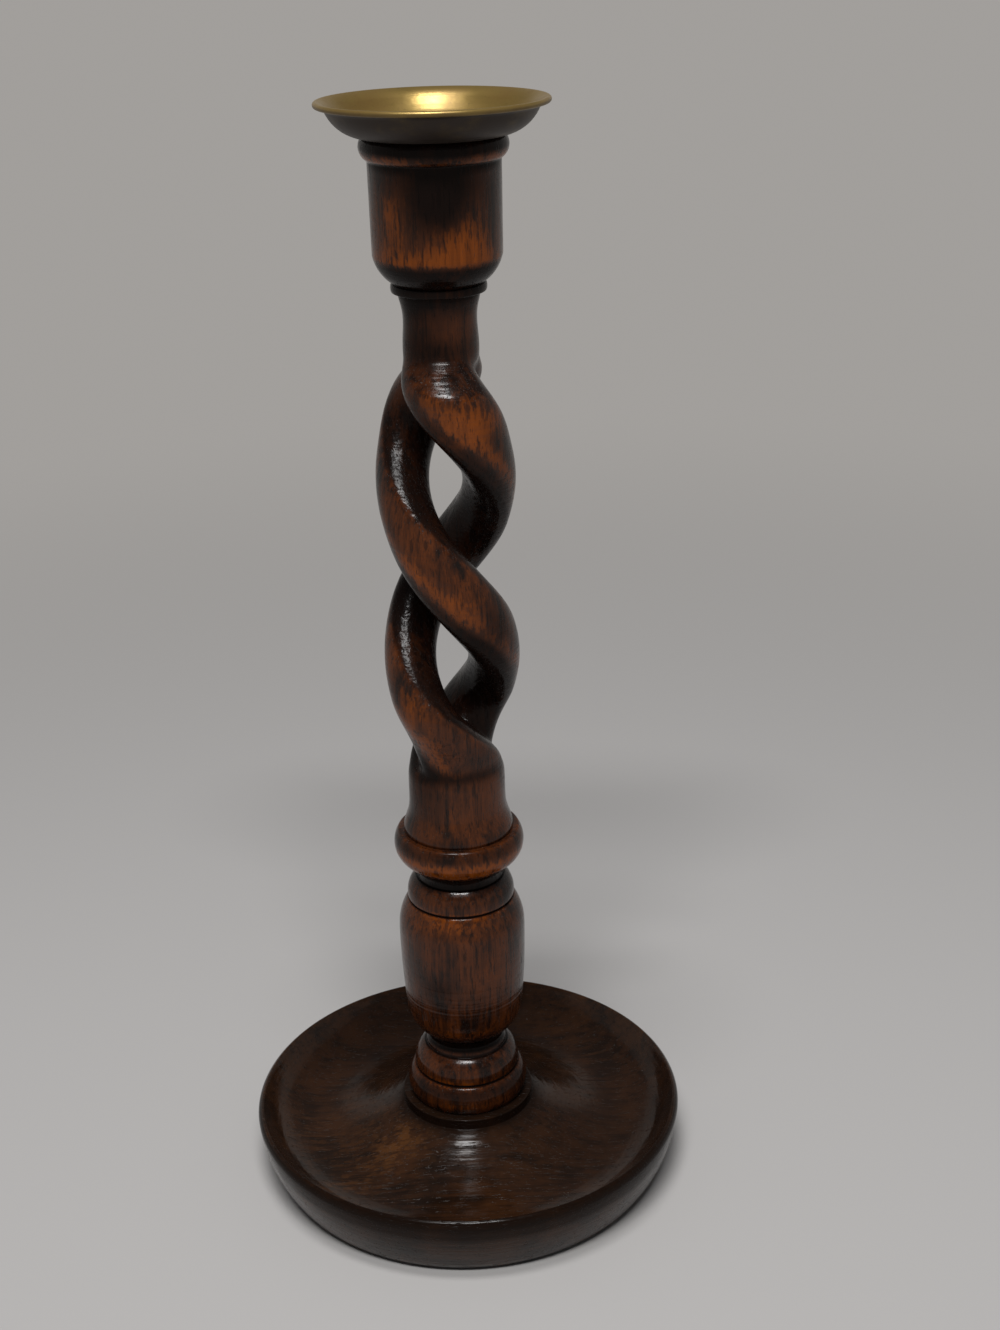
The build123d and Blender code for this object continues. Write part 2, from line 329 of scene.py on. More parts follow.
def strand(name, turn):
    """One carved strand as a closed tube of level sections."""
    low = twist_foot_z - STRAND_SINK
    high = twist_top_z + STRAND_SINK
    levels = np.linspace(low, high, ceil((high - low) / LEVEL_STEP) + 1)
    vertices = []
    for height in levels:
        middle, half_depth, lower_width, upper_width, angle = strand_frame(height)
        upper = np.array((half_depth, upper_width))
        lower = np.array((half_depth, -lower_width))
        full = ease((twist_top_z - height) / FULL_REACH) * ease((height - twist_foot_z) / FULL_REACH)
        swelled = np.array((1, 1 + full * LOWER_FULLNESS))
        corners = [ARRIS * lower, ARRIS * upper, HEEL * upper, HEEL * lower * swelled]
        bends = [(half_depth, 0), FLANK * upper, (-half_depth, 0), FLANK * lower * swelled]
        following = corners[1:] + corners[:1]
        section = np.concatenate([arc_through(*points) for points in zip(corners, bends, following)])
        for depth, width in section:
            point = complex(middle + depth, width) * complex(cos(angle + turn), sin(angle + turn))
            vertices.append((point.real, point.imag, height))
    sides = len(section)
    faces = [tuple(range(sides)), tuple(range(len(vertices) - sides, len(vertices)))]
    for level in range(len(levels) - 1):
        start = level * sides
        for side in range(sides):
            after = (side + 1) % sides
            faces.append((start + side, start + after, start + sides + after, start + sides + side))
    return mesh_object(name, vertices, faces)


def relax(mesh, rounds):
    """Evens out a mesh: each vertex goes half way to the mean of its neighbours, round after round."""
    count = len(mesh.vertices)
    places = np.empty(count * 3, np.float32)
    mesh.vertices.foreach_get("co", places)
    places = places.reshape(-1, 3)
    edges = np.empty(len(mesh.edges) * 2, np.int32)
    mesh.edges.foreach_get("vertices", edges)
    first, second = edges.reshape(-1, 2).T
    valence = np.bincount(first, minlength=count) + np.bincount(second, minlength=count)
    for _ in range(rounds):
        total = np.zeros_like(places)
        for axis in range(3):
            total[:, axis] = np.bincount(first, places[second, axis], count)
            total[:, axis] += np.bincount(second, places[first, axis], count)
        places = 0.5 * places + 0.5 * total / valence[:, None]
    mesh.vertices.foreach_set("co", places.ravel())
    mesh.update()


def build_stem():
    """The oak stem: turned lower length, carved twist that runs into the neck, and turned candle cup."""
    spigot = [
        (0, PILOT_RADIUS, 0),
        (spigot_z - screw_tip_z, PILOT_RADIUS, 0),
        (0, SPIGOT_RADIUS, 0),
        (seat_z - spigot_z, SPIGOT_RADIUS, 0),
        (0, FOOT_RADIUS, 0),
    ]
    lower_points = outline((0, screw_tip_z), spigot + LOWER_STEM + TO_AXIS)

    bead_top = LOWER_STEM[-1][1]
    collar_foot = [(0, bead_top, 0), (COLLAR_SINK, bead_top, 0)]
    collar_points = outline((0, bead_top_z - COLLAR_SINK), collar_foot + COLLAR + TO_AXIS)

    flare_radius, flare_drop = NECK_FLARE
    neck_core = [(NECK_CORE_DROP - flare_drop, flare_radius, 0), (flare_drop, NECK_RADIUS, 0)]
    neck_end = [(RING[0][0] / 2, NECK[-1][1], 0)]
    neck_points = outline((0, twist_top_z - NECK_CORE_DROP), neck_core + NECK + neck_end + TO_AXIS)

    ring_foot = [(0, RING_RADIUS, 0)]
    bore = [(0, BORE_RADIUS, 0), (bore_z - cup_top_z, BORE_RADIUS, 0)]
    upper_points = outline((0, ring_z), ring_foot + RING + CUP + bore + TO_AXIS)

    twist = strand("twist_stem_carved", 0)
    for place in range(1, STRAND_COUNT):
        other = strand("other_strand", place * 2 * pi / STRAND_COUNT)
        unite(twist, [other])
    carved_ends = [soften(points, CARVED_ROUND) for points in (collar_points, neck_points)]
    unite(twist, [lathe("carved_end", thin_out(points)) for points in carved_ends])
    use_modifier(twist, "REMESH", mode="VOXEL", voxel_size=VOXEL * MM)
    relax(twist.data, CARVE_SMOOTHING)
    turned = [soften(points, EDGE_WEAR) for points in (lower_points, upper_points)]
    unite(twist, [lathe("turned_length", thin_out(points)) for points in turned])
    twist.data.shade_smooth()
    twist.data.set_sharp_from_angle(angle=SHARP_ANGLE)
    return twist, turned


# Base dish: places on it as (inset from its widest radius, height), and on its boss as (radius, height)
DISH_WALL_RADIUS = 62.1
DISH_FOOT = (5.8, 0.0)
DISH_WALL = (0.0, 16.6)
DISH_WALL_BULGE = 1.1
DISH_RIM = (1.5, 19.5)
DISH_RIM_BULGE = 0.6
DISH_INNER = (6.6, 12.4)
DISH_FLOOR = (19.6, 9.2)
BOSS_FOOT = (26.0, 14.6)
BOSS_SHOULDER = (19.6, 18.2)
BOSS_COLLAR_RADIUS = 19.0
MORTISE_RADIUS = 8.1
MORTISE_DEPTH = 13.5
SCREW_HOLE_RADIUS = 2.5
COUNTERSINK_RADIUS = 5.0
DISH_EDGE_WEAR = 0.28


def smooth_through(points):
    """Points of a natural cubic curve through given ones, short of the first."""
    points = np.array(points, float)
    knots = np.concatenate(([0.0], np.cumsum(np.hypot(*np.diff(points, axis=0).T))))
    gaps = np.diff(knots)
    count = len(points)
    system = np.eye(count)
    slopes = np.zeros((count, 2))
    for place in range(1, count - 1):
        before, after = gaps[place - 1], gaps[place]
        system[place, place - 1:place + 2] = before, 2 * (before + after), after
        rise_after = (points[place + 1] - points[place]) / after
        rise_before = (points[place] - points[place - 1]) / before
        slopes[place] = 6 * (rise_after - rise_before)
    bends = np.linalg.solve(system, slopes)
    curve = []
    for place in range(count - 1):
        gap = gaps[place]
        far = np.linspace(0, 1, ceil(gap / POINT_STEP) + 1)[1:, None]
        near = 1 - far
        line = near * points[place] + far * points[place + 1]
        bend = (near**3 - near) * bends[place] + (far**3 - far) * bends[place + 1]
        curve.append(line + bend * gap**2 / 6)
    return np.concatenate(curve)


def dish_outline():
    """Closed outline of the base, from the countersink outward, over the rim, the hollow and the boss."""
    def from_rim(inset_and_height):
        """Radius and height of a place that is given by its inset and its height above the underside."""
        inset, height = inset_and_height
        return (DISH_WALL_RADIUS - inset, dish_z + height)

    foot, wall, rim = from_rim(DISH_FOOT), from_rim(DISH_WALL), from_rim(DISH_RIM)
    shoulder = (BOSS_SHOULDER[0], dish_z + BOSS_SHOULDER[1])
    boss_foot = (BOSS_FOOT[0], dish_z + BOSS_FOOT[1])
    cone_top = dish_z + COUNTERSINK_RADIUS - SCREW_HOLE_RADIUS
    hole_start = (COUNTERSINK_RADIUS, dish_z)
    hole_steps = [
        (0, BOSS_COLLAR_RADIUS, 0),
        (seat_z - shoulder[1], BOSS_COLLAR_RADIUS, 0),
        (0, MORTISE_RADIUS, 0),
        (-MORTISE_DEPTH, MORTISE_RADIUS, 0),
        (0, SCREW_HOLE_RADIUS, 0),
        (cone_top - seat_z + MORTISE_DEPTH, SCREW_HOLE_RADIUS, 0),
        (dish_z - cone_top, COUNTERSINK_RADIUS, 0),
    ]
    return np.concatenate((
        [hole_start],
        stretch(hole_start, foot, 0),
        stretch(foot, wall, DISH_WALL_BULGE),
        stretch(wall, rim, DISH_RIM_BULGE),
        smooth_through([rim, from_rim(DISH_INNER), from_rim(DISH_FLOOR), boss_foot, shoulder]),
        outline(shoulder, hole_steps)[1:],
    ))


# Brass pan and nozzle
PAN_HOLE_RADIUS = 12.1
PAN_THICKNESS = 0.9
PAN_FLOOR_RADIUS = 18.4
PAN_WALL = (26.0, 5.9)
PAN_WALL_BULGE = 1.2
PAN_LIP = (28.1, 7.3)
PAN_LIP_BULGE = 0.25
PAN_ROLL_RADIUS = 0.75
PAN_ROLL_SWEEP = radians(125)
PAN_ROLL_POINTS = 40
NOZZLE_RADIUS = 11.8
NOZZLE_WALL = 0.6
NOZZLE_FLANGE_RADIUS = 14.2
BRASS_EDGE = 0.14


def pan_outline():
    """Closed outline of the pan: underside, rolled lip, inside and the hole for the nozzle."""
    inner_wall = (PAN_WALL[0] - PAN_THICKNESS, cup_top_z + PAN_WALL[1] + PAN_THICKNESS / 2)
    outer_wall = (PAN_WALL[0], cup_top_z + PAN_WALL[1])
    roll_middle = (PAN_LIP[0], cup_top_z + PAN_LIP[1] + PAN_THICKNESS / 2)
    angles = np.linspace(-PAN_ROLL_SWEEP, PAN_ROLL_SWEEP, PAN_ROLL_POINTS)
    roll = roll_middle + PAN_ROLL_RADIUS * np.column_stack((np.cos(angles), np.sin(angles)))
    floor_edge = (PAN_FLOOR_RADIUS, cup_top_z + PAN_THICKNESS)
    hole = [(0, PAN_HOLE_RADIUS, 0), (-PAN_THICKNESS, PAN_HOLE_RADIUS, 0)]
    return np.concatenate((
        [(PAN_HOLE_RADIUS, cup_top_z)],
        stretch((PAN_HOLE_RADIUS, cup_top_z), (PAN_FLOOR_RADIUS, cup_top_z), 0),
        stretch((PAN_FLOOR_RADIUS, cup_top_z), outer_wall, PAN_WALL_BULGE),
        stretch(outer_wall, roll[0], -PAN_LIP_BULGE),
        roll[1:],
        stretch(roll[-1], inner_wall, PAN_LIP_BULGE),
        stretch(inner_wall, floor_edge, -PAN_WALL_BULGE),
        outline(floor_edge, hole)[1:],
    ))


def nozzle_outline():
    """Outline of the brass tube, from under its bottom over the flange to the inside of the bottom."""
    flange_z = cup_top_z + PAN_THICKNESS
    inside_z = nozzle_z + NOZZLE_WALL
    tube = [
        (0, NOZZLE_RADIUS, 0),
        (flange_z - nozzle_z, NOZZLE_RADIUS, 0),
        (0, NOZZLE_FLANGE_RADIUS, 0),
        (mouth_z - flange_z, NOZZLE_FLANGE_RADIUS, 0),
        (0, NOZZLE_RADIUS - NOZZLE_WALL, 0),
        (inside_z - mouth_z, NOZZLE_RADIUS - NOZZLE_WALL, 0),
    ]
    return outline((0, nozzle_z), tube + TO_AXIS)


def pad_outline():
    """Outline of the fabric disc."""
    return outline((0, 0), [(0, pad_radius, 0), (dish_z, pad_radius, 0)] + TO_AXIS)


# Marks painted on the oak: wear is 1 at bare wood, stain 1 under thick stain and painted shade, and rasped 1
# along the twist
WEAR_REACH = 0.7
WEAR_TURN = radians(170)
# Full painted shade in a hollow of the outline comes at this much turn
HOLLOW_SHADE_TURN = radians(45)
TURN_REACH = 0.4

# Wear along the crown of a strand, darker stain with painted shade on its carved faces, and painted shade
# along its lower edge
CROWN_WEAR = 0.6
CROWN_RISE = 4.9
CROWN_SPREAD = 2.3
CROWN_START = 30.0
CARVED_STAIN_AND_SHADE = 0.9
CARVED_FADE = 1.6
# Painted shade along a strand's lower edge: its reach up from the arris, and its strength
LOWER_SHADE_REACH = 3.5
LOWER_EDGE_SHADE = 0.75
STAIN_AND_SHADE_DROP = 8.0
STAIN_AND_SHADE_RISE = 4.0

# Wear on the edges of the base, and darker stain with painted shade on its wall
DISH_WEAR = 0.4
WALL_STAIN_AND_SHADE = 0.65

# Patina on the pan: a level all over, what faces that look outward or down add, and what the lip has lost
PATINA_LEVEL = 0.1
PATINA_OUTSIDE = 0.8
PATINA_BELOW = 1.2
LIP_RUB = 0.55

# Half width of a mark that goes all round the stem and is only somewhat weaker behind
ALL_ROUND = 60.0

# Rubbed and dark places as (azimuth from the front in degrees, height, half width, half height, strength)
STEM_RUBS = [
    # Cup
    (0, 291.2, ALL_ROUND, 1.2, 1.0),
    (-40, 279.0, 4.5, 6.0, 0.6),
    (120, 276.0, 7.0, 6.0, 0.35),
    (-100, 274.0, 6.0, 6.0, 0.4),
    (24, 272.0, 5.0, 4.5, 0.9),
    (-4, 269.0, 14.0, 2.0, 0.3),
    (180, 267.8, 24.0, 1.6, 0.8),
    (-4, 267.2, 15.0, 1.1, 0.6),
    # Twist
    (16, 229.5, 6.0, 4.0, 0.55),
    (26, 226.0, 6.0, 3.5, 0.45),
    (150, 190.0, 6.0, 9.0, 0.4),
    (-34, 189.0, 3.0, 4.0, 0.45),
    (12, 180.0, 4.0, 4.0, 0.5),
    (-41, 148.0, 4.0, 7.0, 0.45),
    (-25, 138.0, 5.0, 4.0, 0.4),
    # Collar, pillar and foot
    (-9, 119.6, 4.0, 6.0, 0.25),
    (0, 101.8, ALL_ROUND, 1.8, 1.3),
    (-19, 84.3, 8.0, 2.0, 0.45),
    (30, 70.0, 5.0, 9.0, 0.22),
    (-170, 66.0, 9.0, 9.0, 0.25),
    (-4, 48.6, 8.0, 1.8, 0.5),
    (-9, 31.6, 8.0, 1.0, 0.4),
    (-5, 25.4, 6.0, 1.2, 0.45),
]
# Dark places of the stem: painted shade under the pan, under the cup, in the waist and coves and where parts
# meet, with darker stain
STEM_STAIN_AND_SHADE = [
    # Cup and neck: painted shade under the pan and under the cup, and darker stain on the cup's front and
    # the neck
    (0, 294.8, ALL_ROUND, 1.5, 1.6),
    (2, 286.0, 9.0, 5.5, 1.0),
    (0, 278.0, 5.0, 4.5, 0.6),
    (0, 262.0, ALL_ROUND, 2.2, 3.0),
    (0, 259.0, ALL_ROUND, 1.6, 0.8),
    (0, 255.0, ALL_ROUND, 2.0, 0.5),
    (-45, 249.0, 7.0, 7.0, 0.6),
    # Twist: darker stain, and painted shade where the strands meet the collar
    (-4, 243.5, 8.0, 3.0, 0.55),
    (42, 170.0, 5.0, 7.0, 0.6),
    (0, 128.6, ALL_ROUND, 1.5, 0.7),
    # Collar, pillar and foot: painted shade where the bead meets the collar, in the waist and in the cove,
    # darker stain with painted shade on the collar's left, and darker stain elsewhere
    (-62, 124.0, 7.0, 8.0, 0.8),
    (0, 106.8, ALL_ROUND, 1.6, 0.5),
    (0, 98.2, ALL_ROUND, 0.9, 1.0),
    (0, 95.3, ALL_ROUND, 1.4, 0.6),
    (-23, 65.0, 3.5, 2.5, 0.6),
    (0, 46.0, ALL_ROUND, 1.6, 0.6),
    (0, 42.0, ALL_ROUND, 2.0, 0.8),
    (5, 29.0, ALL_ROUND, 1.6, 0.7),
]
# Rubbed places of the base; the broad one on the left of the hollow is a painted reflection as well as wear
DISH_WEAR_AND_REFLECTION = [
    (-48, 15.5, 5.0, 4.0, 0.5),
    (-75, 12.0, 22.0, 6.0, 0.22),
    (20, 12.0, 14.0, 5.0, 0.12),
    (150, 12.0, 20.0, 6.0, 0.2),
]
# Dark places of the base: painted shade on the boss collar under the stem and on the right of the hollow,
# and darker stain behind
DISH_STAIN_AND_SHADE = [
    (75, 11.0, 24.0, 8.0, 0.35),
    (0, 20.8, ALL_ROUND, 1.6, 1.2),
    (-150, 11.0, 20.0, 8.0, 0.4),
]


def outline_turn(points):
    """How far an outline turns within WEAR_REACH of each point: above 0 at an edge, below 0 in a hollow."""
    run = np.gradient(points, axis=0)
    direction = np.unwrap(np.arctan2(run[:, 1], run[:, 0]))
    reach = ceil(WEAR_REACH / POINT_STEP)
    padded = np.pad(direction, reach, mode="edge")
    return padded[2 * reach:] - padded[:-2 * reach]


def coordinates(mesh):
    """The mesh's vertices in millimetres."""
    places = np.empty(len(mesh.vertices) * 3, np.float32)
    mesh.vertices.foreach_get("co", places)
    return places.reshape(-1, 3) / MM


def directions(mesh):
    """The mesh's outward directions at its vertices."""
    found = np.empty(len(mesh.vertices) * 3, np.float32)
    mesh.vertex_normals.foreach_get("vector", found)
    return found.reshape(-1, 3)


def nearest_turn(places, points):
    """Each vertex takes the turn of the nearest outline point, if one lies within TURN_REACH."""
    turns = outline_turn(points)
    tree = kdtree.KDTree(len(points))
    for number, (radius, height) in enumerate(points):
        tree.insert((radius, 0, height), number)
    tree.balance()
    found = np.zeros(len(places))
    for number, (across, deep, height) in enumerate(places):
        _, nearest, distance = tree.find((hypot(across, deep), 0, height))
        if distance < TURN_REACH:
            found[number] = turns[nearest]
    return found


def in_twist(places):
    """1 along the carved twist, and 0 below and above it."""
    return ((places[:, 2] > twist_foot_z) & (places[:, 2] < twist_top_z)).astype(float)


def strand_marks(places):
    """Wear along the crown of each strand, darker stain with painted shade on its carved faces, and painted
    shade along its lower arris.
    """
    across, deep, height = places.T
    middle, half_depth, lower_width, _, angle = strand_frame(height)
    wear = np.zeros(len(places))
    carved = np.ones(len(places))
    for place in range(STRAND_COUNT):
        turn = angle + place * 2 * pi / STRAND_COUNT
        depth = across * np.cos(turn) + deep * np.sin(turn) - middle
        width = deep * np.cos(turn) - across * np.sin(turn)
        beyond = depth - ARRIS[0] * half_depth
        rise = width + ARRIS[1] * lower_width
        crown = np.exp(-0.5 * ((rise - CROWN_RISE) / CROWN_SPREAD) ** 2)
        wear = np.maximum(wear, crown * ease(1 + beyond / CARVED_FADE))
        # Painted shade along the lower arris, where the strand turns down from the light, and darker stain
        # with painted shade on the carved faces
        edge = LOWER_EDGE_SHADE * ease(1 - rise / LOWER_SHADE_REACH)
        carved = np.minimum(carved, np.maximum(edge, ease(-beyond / CARVED_FADE)))
    drop = twist_top_z - height
    wear = wear * in_twist(places) * ease(drop / CROWN_START)
    # The stain and painted shade fade out towards the ends of the twist
    carved = carved * ease((drop - STAIN_AND_SHADE_DROP) / UPPER_BLEND)
    carved = carved * ease((height - twist_foot_z) / STAIN_AND_SHADE_RISE)
    return CROWN_WEAR * wear, CARVED_STAIN_AND_SHADE * carved


def marked(places, marks):
    """Sum of the rubbed or dark places at each vertex, each of them fading out from its middle."""
    azimuth = np.arctan2(places[:, 0], -places[:, 1])
    radius = np.hypot(places[:, 0], places[:, 1])
    total = np.zeros(len(places))
    for degrees, height, half_width, half_height, strength in marks:
        around = (azimuth - radians(degrees) + pi) % (2 * pi) - pi
        spread = (around * radius / half_width) ** 2 + ((places[:, 2] - height) / half_height) ** 2
        total += strength * np.exp(-0.5 * spread)
    return total


def paint(piece, name, values):
    """Stores a value for each vertex, for the piece's material to read."""
    attribute = piece.data.attributes.new(name, "FLOAT", "POINT")
    attribute.data.foreach_set("value", np.asarray(values, np.float32))


def paint_oak(piece, wear, stain):
    """Stores wear and stain, where thick stain hides the wear. The stain holds painted shade too, and the
    base's wear a painted reflection.
    """
    stain = np.clip(stain, 0, 1)
    paint(piece, "wear", wear * (1 - stain))
    paint(piece, "stain", stain)


def node(tree, kind, inputs=None, **settings):
    """Adds a shader node. Inputs are values, or other nodes' outputs, by name or number."""
    made = tree.nodes.new(kind)
    for setting, value in settings.items():
        setattr(made, setting, value)
    for name, value in (inputs or {}).items():
        if isinstance(value, bpy.types.NodeSocket):
            tree.links.new(value, made.inputs[name])
        else:
            made.inputs[name].default_value = value
    return made


def mathed(tree, operation, first, second=0.0, clamp=False):
    """A product, sum or other calculation on two values, each a number or an output."""
    made = node(tree, "ShaderNodeMath", {0: first, 1: second}, operation=operation, use_clamp=clamp)
    return made.outputs[0]


def noise(tree, size, detail=3.0, roughness=0.5, distortion=0.0, place=None):
    """Noise whose spots measure size millimetres along X, Y and Z of the piece, or of a given place."""
    if place is None:
        place = node(tree, "ShaderNodeTexCoord").outputs["Object"]
    mapping = {"Vector": place, "Scale": [MM * length for length in size]}
    scaled = node(tree, "ShaderNodeMapping", mapping, vector_type="TEXTURE").outputs[0]
    inputs = {
        "Vector": scaled,
        "Scale": 1.0,
        "Detail": detail,
        "Roughness": roughness,
        "Distortion": distortion,
    }
    return node(tree, "ShaderNodeTexNoise", inputs).outputs["Fac"]


def turned_place(tree):
    """Radius and height of each place, for marks that run round the axis."""
    place = node(tree, "ShaderNodeTexCoord").outputs["Object"]
    parts = node(tree, "ShaderNodeSeparateXYZ", {0: place}).outputs
    flat = node(tree, "ShaderNodeCombineXYZ", {0: parts[0], 1: parts[1]}).outputs[0]
    radius = node(tree, "ShaderNodeVectorMath", {0: flat}, operation="LENGTH").outputs["Value"]
    return node(tree, "ShaderNodeCombineXYZ", {0: radius, 2: parts[2]}).outputs[0]


def between(tree, value, low, high, out_low=0.0, out_high=1.0):
    """Maps a value from one range to another, smoothly and without leaving it."""
    inputs = {"Value": value, "From Min": low, "From Max": high, "To Min": out_low, "To Max": out_high}
    return node(tree, "ShaderNodeMapRange", inputs, interpolation_type="SMOOTHSTEP").outputs["Result"]


# Numbers of a mix node's sockets for the factor, two colours and the result, as their names aren't unique
MIX_INPUTS = (0, 6, 7)
MIX_OUTPUT = 2


def mixed(tree, factor, first, second):
    """Mixes two colours, each a colour or an output."""
    inputs = dict(zip(MIX_INPUTS, (factor, first, second)))
    return node(tree, "ShaderNodeMix", inputs, data_type="RGBA").outputs[MIX_OUTPUT]


def bumped(tree, height, distance, normal=None):
    """A normal that follows a height, whose full rise is distance millimetres."""
    inputs = {"Height": height, "Distance": distance * MM, "Strength": 1.0}
    if normal is not None:
        inputs["Normal"] = normal
    return node(tree, "ShaderNodeBump", inputs).outputs[0]


def new_material(name):
    """A material, its node tree and its shader."""
    material = bpy.data.materials.new(name)
    material.use_nodes = True
    tree = material.node_tree
    shader = next(item for item in tree.nodes if item.type == "BSDF_PRINCIPLED")
    return material, tree, shader


def colour(red, green, blue):
    """A solid colour, in linear values."""
    return (red, green, blue, 1.0)


def darker(tone, share):
    """A colour at a share of its strength."""
    return colour(*(share * part for part in tone[:3]))


# How much of the painted wear shows in the oak
WEAR_GAIN = 0.9


def oak(name, dark, brown, bare, grain, figure, polish, shine):
    """Dark oak under stain and wax: streaks, ticks and pores along the grain, worn places of bare wood, and
    painted shade.

    The grain has a 1 among X, Y and Z for the axis that it runs along, and figure is how strongly it shows.
    The polish is the lowest roughness, and shine the reflection where neither thick stain nor painted shade
    lies.
    """
    material, tree, shader = new_material(name)
    wear = node(tree, "ShaderNodeAttribute", attribute_name="wear").outputs["Fac"]
    stain_and_shade = node(tree, "ShaderNodeAttribute", attribute_name="stain").outputs["Fac"]
    rasped = node(tree, "ShaderNodeAttribute", attribute_name="rasped").outputs["Fac"]

    def along_grain(width, length):
        """Size of spots that are drawn out along the grain."""
        return [length if runs else width for runs in grain]

    # Patterns of the wood and of its wear
    patches = noise(tree, (15.0, 15.0, 21.0), detail=4.0, roughness=0.6)
    streaks = noise(tree, along_grain(1.9, 46.0), detail=5.0, roughness=0.62, distortion=0.3)
    fibres = noise(tree, along_grain(0.35, 14.0), detail=3.0, roughness=0.6)
    ticks = between(tree, noise(tree, along_grain(0.95, 8.0), detail=2.0), 0.58, 0.66)
    pores = between(tree, noise(tree, along_grain(0.42, 5.5), detail=2.0, roughness=0.55), 0.60, 0.69)
    broken = between(tree, noise(tree, (3.0, 3.0, 4.5), detail=4.0, roughness=0.65), 0.35, 0.68)
    chips = between(tree, noise(tree, along_grain(1.3, 7.0), detail=3.0, roughness=0.6), 0.42, 0.56)

    # Colour of the stain, darkest where thick stain and painted shade lie
    tone = mathed(tree, "MULTIPLY", patches, 0.9)
    tone = mathed(tree, "ADD", tone, mathed(tree, "MULTIPLY", streaks, 0.8))
    stain = mixed(tree, between(tree, tone, 0.66, 1.02), dark, brown)
    stain = mixed(tree, between(tree, fibres, 0.35, 0.75, 0.0, 0.4 * figure), stain, dark)
    thick = mathed(tree, "MULTIPLY", stain_and_shade, between(tree, streaks, 0.3, 0.65, 0.65, 1.2), clamp=True)
    stain = mixed(tree, thick, stain, dark)

    # Worn places, with a broken edge, and dark ticks and pores over all
    worn = mathed(tree, "MULTIPLY", wear, WEAR_GAIN)
    flakes = mathed(tree, "ADD", worn, mathed(tree, "MULTIPLY", mathed(tree, "ADD", chips, broken), 0.5))
    worn = mathed(tree, "MULTIPLY", worn, between(tree, flakes, 0.65, 1.20, 0.2, 1.35))
    worn = mathed(tree, "ADD", worn, between(tree, patches, 0.58, 0.80, 0.0, 0.10))
    worn = mathed(tree, "MULTIPLY", worn, between(tree, streaks, 0.28, 0.62, 0.55, 1.25), clamp=True)
    rubbed_wood = mixed(tree, between(tree, streaks, 0.3, 0.7), bare, darker(bare, 0.55))
    base = mixed(tree, worn, stain, rubbed_wood)
    base = mixed(tree, mathed(tree, "MULTIPLY", ticks, 0.7 * figure), base, darker(dark, 0.6))
    base = mixed(tree, mathed(tree, "MULTIPLY", pores, 0.7 * figure), base, darker(dark, 0.3))
    tree.links.new(base, shader.inputs["Base Color"])

    # Polish, duller in pores and along the twist, and weaker where thick stain and painted shade lie
    smear = noise(tree, (6.0, 6.0, 9.0), detail=5.0, roughness=0.65)
    gloss = between(tree, smear, 0.3, 0.75, polish, polish + 0.12)
    gloss = mathed(tree, "ADD", gloss, mathed(tree, "MULTIPLY", pores, 0.25))
    gloss = mathed(tree, "ADD", gloss, mathed(tree, "MULTIPLY", rasped, 0.04))
    tree.links.new(gloss, shader.inputs["Roughness"])
    reflection = between(tree, stain_and_shade, 0.0, 1.0, shine, 0.35 * shine)
    tree.links.new(reflection, shader.inputs["Specular IOR Level"])

    # Tool marks, waves, streaks and open pores
    ripples = noise(tree, (1.15, 1.0, 1.15), detail=1.0, place=turned_place(tree))
    ripples = mathed(tree, "MULTIPLY", ripples, between(tree, rasped, 0.0, 1.0, 1.0, 1.9))
    waves = noise(tree, (6.0, 6.0, 1.6), detail=2.0)
    normal = bumped(tree, ripples, 0.06)
    normal = bumped(tree, waves, 0.05, normal=normal)
    normal = bumped(tree, streaks, 0.04, normal=normal)
    normal = bumped(tree, mathed(tree, "MULTIPLY", pores, -1.0), 0.06, normal=normal)
    tree.links.new(normal, shader.inputs["Normal"])
    return material


def brass(name, bright, tarnish, dull):
    """Old satin brass: fine spinning lines, soft tarnish, and dark patina where the painted value is 1."""
    material, tree, shader = new_material(name)
    patina = node(tree, "ShaderNodeAttribute", attribute_name="patina").outputs["Fac"]
    lines = noise(tree, (0.35, 1.0, 0.35), place=turned_place(tree))
    clouds = noise(tree, (11.0, 11.0, 8.0), detail=5.0, roughness=0.62)
    specks = between(tree, noise(tree, (0.9, 0.9, 0.9), detail=3.0, roughness=0.7), 0.62, 0.74)

    base = mixed(tree, between(tree, clouds, 0.35, 0.72), bright, tarnish)
    base = mixed(tree, mathed(tree, "MULTIPLY", specks, 0.35), base, dull)
    coated = mathed(tree, "MULTIPLY", patina, between(tree, clouds, 0.2, 0.5, 0.82, 1.0))
    base = mixed(tree, coated, base, dull)
    tree.links.new(base, shader.inputs["Base Color"])
    tree.links.new(between(tree, clouds, 0.3, 0.75, 0.72, 0.52), shader.inputs["Metallic"])
    rough = between(tree, clouds, 0.3, 0.75, 0.30, 0.40)
    rough = mathed(tree, "ADD", rough, mathed(tree, "MULTIPLY", patina, 0.12))
    tree.links.new(rough, shader.inputs["Roughness"])
    normal = bumped(tree, lines, 0.02)
    normal = bumped(tree, clouds, 0.10, normal=normal)
    tree.links.new(normal, shader.inputs["Normal"])
    return material


def steel(name):
    """Plain steel, dulled and a little uneven, with some rust."""
    material, tree, shader = new_material(name)
    clouds = noise(tree, (2.5, 2.5, 3.0), detail=5.0, roughness=0.65)
    grey = colour(0.36, 0.35, 0.34)
    rust = colour(0.16, 0.085, 0.045)
    base = mixed(tree, between(tree, clouds, 0.52, 0.78), grey, rust)
    tree.links.new(base, shader.inputs["Base Color"])
    shader.inputs["Metallic"].default_value = 0.9
    tree.links.new(between(tree, clouds, 0.3, 0.75, 0.32, 0.6), shader.inputs["Roughness"])
    tree.links.new(bumped(tree, clouds, 0.03), shader.inputs["Normal"])
    return material


